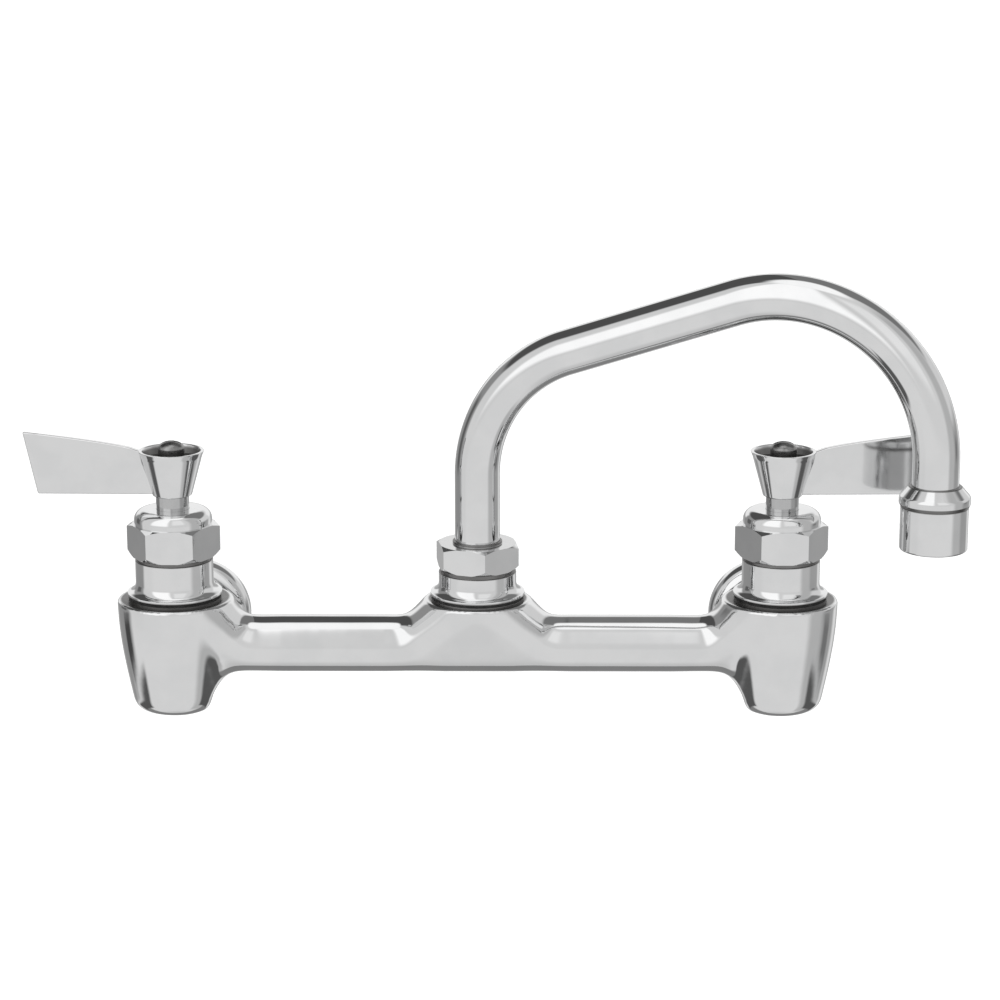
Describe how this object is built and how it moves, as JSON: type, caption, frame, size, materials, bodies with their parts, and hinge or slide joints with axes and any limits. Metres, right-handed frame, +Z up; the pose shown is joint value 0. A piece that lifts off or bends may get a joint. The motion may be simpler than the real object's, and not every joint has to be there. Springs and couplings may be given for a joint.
{
  "type": "wall faucet",
  "caption": "Wall-mounted mixing faucet with lever valves on a cast body, a swinging arched tube spout with an aerator, and round wall flanges on union couplings.",
  "frame": {"origin": "on the wall plane, midway between the two inlets and level with their axes", "axes": "+X to the right as the user faces the wall, +Y into the wall, +Z up"},
  "size_m": [0.3079, 0.1195, 0.1581],
  "materials": {
    "chrome": "polished plate",
    "raw_brass": "turned, unplated",
    "plain_steel": "plain",
    "black_rubber": "matte",
    "white_plastic": "moulded"
  },
  "bodies": {
    "frame": {"body_casting": "chrome", "outlet_adapter": "chrome", "outlet_gasket": "black_rubber", "spout_bearing_washer": "white_plastic", "swivel_nut": "chrome", "spout_orings": "black_rubber", "left_wall_flange": "chrome", "left_coupling_nut": "chrome", "left_snap_ring": "plain_steel", "left_inlet_washer": "black_rubber", "left_sleeve_gasket": "black_rubber", "left_valve_sleeve": "chrome", "left_bonnet_nut": "chrome", "left_packing_washer": "raw_brass", "left_packing": "black_rubber", "left_seat": "raw_brass", "right_wall_flange": "chrome", "right_coupling_nut": "chrome", "right_snap_ring": "plain_steel", "right_inlet_washer": "black_rubber", "right_sleeve_gasket": "black_rubber", "right_valve_sleeve": "chrome", "right_bonnet_nut": "chrome", "right_packing_washer": "raw_brass", "right_packing": "black_rubber", "right_seat": "raw_brass"},
    "spout": {"spout_tube": "chrome", "spout_retaining_ring": "raw_brass", "outlet_ferrule": "chrome", "aerator_housing": "chrome", "aerator_washer": "black_rubber", "aerator_insert": "white_plastic", "aerator_screen": "plain_steel"},
    "left_disc": {"left_seat_washer": "black_rubber", "left_washer_screw": "raw_brass", "left_disc_holder": "raw_brass"},
    "left_lever": {"left_stem": "chrome", "left_lever_handle": "chrome", "left_lock_washer": "plain_steel", "left_handle_screw": "plain_steel"},
    "right_disc": {"right_seat_washer": "black_rubber", "right_washer_screw": "raw_brass", "right_disc_holder": "raw_brass"},
    "right_lever": {"right_stem": "chrome", "right_lever_handle": "chrome", "right_lock_washer": "plain_steel", "right_handle_screw": "plain_steel"}
  },
  "joints": [
    {"name": "spout_swivel", "type": "hinge", "parent": "frame", "child": "spout", "pos_m": [0, -0.0635, 0], "axis": [0, 0, 1], "range_deg": [-157, 11]},
    {"name": "left_stem_rise", "type": "slide", "parent": "frame", "child": "left_disc", "axis": [0, 0, 1], "range_m": [0, 0.0025]},
    {"name": "left_lever_turn", "type": "hinge", "parent": "left_disc", "child": "left_lever", "pos_m": [-0.1016, -0.0635, 0], "axis": [0, 0, 1], "range_deg": [0, 90]},
    {"name": "right_stem_rise", "type": "slide", "parent": "frame", "child": "right_disc", "axis": [0, 0, 1], "range_m": [0, 0.0025]},
    {"name": "right_lever_turn", "type": "hinge", "parent": "right_disc", "child": "right_lever", "pos_m": [0.1016, -0.0635, 0], "axis": [0, 0, -1], "range_deg": [0, 90]}
  ],
  "couplings": [
    {"joint": "left_stem_rise", "follows": "left_lever_turn", "m_per_rad": 0.00159},
    {"joint": "right_stem_rise", "follows": "right_lever_turn", "m_per_rad": 0.00159}
  ]
}
